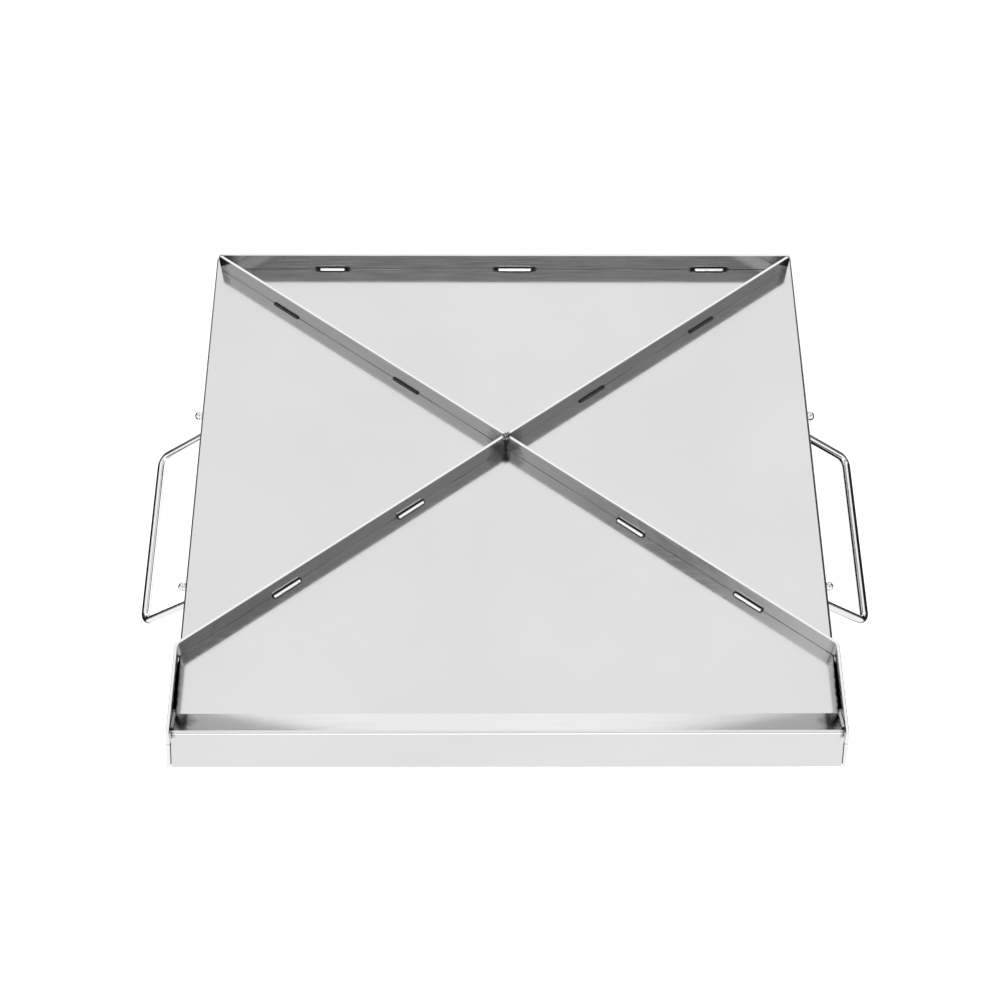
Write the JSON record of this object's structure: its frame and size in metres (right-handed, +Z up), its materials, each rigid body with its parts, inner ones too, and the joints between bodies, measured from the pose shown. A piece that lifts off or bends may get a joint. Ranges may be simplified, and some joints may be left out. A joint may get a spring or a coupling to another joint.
{
  "type": "griddle plate",
  "caption": "Stainless steel barbecue griddle plate, standing upside down: folded pan with grease trough, cross bracing and two pivoting wire handles.",
  "frame": {"origin": "centre of the bounding box at its bottom: the plane the grips stand on, midway between the two grips and midway between the front and rear walls", "axes": "+X along the plate's width towards the right handle, +Y from the grease trough to the rear brace, +Z up with the plate's underside on top"},
  "size_m": [0.5532, 0.4168, 0.1009],
  "materials": {
    "sheet_steel": "satin",
    "bar_steel": "satin",
    "wire_steel": "polished",
    "weld_metal": "rippled bead"
  },
  "bodies": {
    "griddle": {"deck_sheet": "sheet_steel", "front_left_arm": "bar_steel", "front_left_arm_weld_inner": "weld_metal", "front_left_arm_weld_outer": "weld_metal", "front_left_corner_weld": "weld_metal", "front_right_arm": "bar_steel", "front_right_arm_weld_inner": "weld_metal", "front_right_arm_weld_outer": "weld_metal", "front_right_corner_weld": "weld_metal", "hub_weld": "weld_metal", "rear_brace": "bar_steel", "rear_brace_weld_left": "weld_metal", "rear_brace_weld_middle": "weld_metal", "rear_brace_weld_right": "weld_metal", "rear_left_arm": "bar_steel", "rear_left_arm_weld_inner": "weld_metal", "rear_left_arm_weld_outer": "weld_metal", "rear_left_corner_weld": "weld_metal", "rear_right_arm": "bar_steel", "rear_right_arm_weld_inner": "weld_metal", "rear_right_arm_weld_outer": "weld_metal", "rear_right_corner_weld": "weld_metal", "side_panel_left": "sheet_steel", "side_panel_right": "sheet_steel", "trough_end_plate_left": "bar_steel", "trough_end_plate_right": "bar_steel", "trough_end_weld_left": "weld_metal", "trough_end_weld_right": "weld_metal"},
    "handle_left": {"handle_left": "wire_steel"},
    "handle_right": {"handle_right": "wire_steel"}
  },
  "joints": [
    {"name": "handle_left_tilt", "type": "hinge", "parent": "griddle", "child": "handle_left", "pos_m": [-0.23192, -0.0031, 0.06243], "axis": [0, -1, 0], "range_deg": [0, 25]},
    {"name": "handle_right_tilt", "type": "hinge", "parent": "griddle", "child": "handle_right", "pos_m": [0.23192, -0.0031, 0.06243], "axis": [0, 1, 0], "range_deg": [0, 25]}
  ]
}
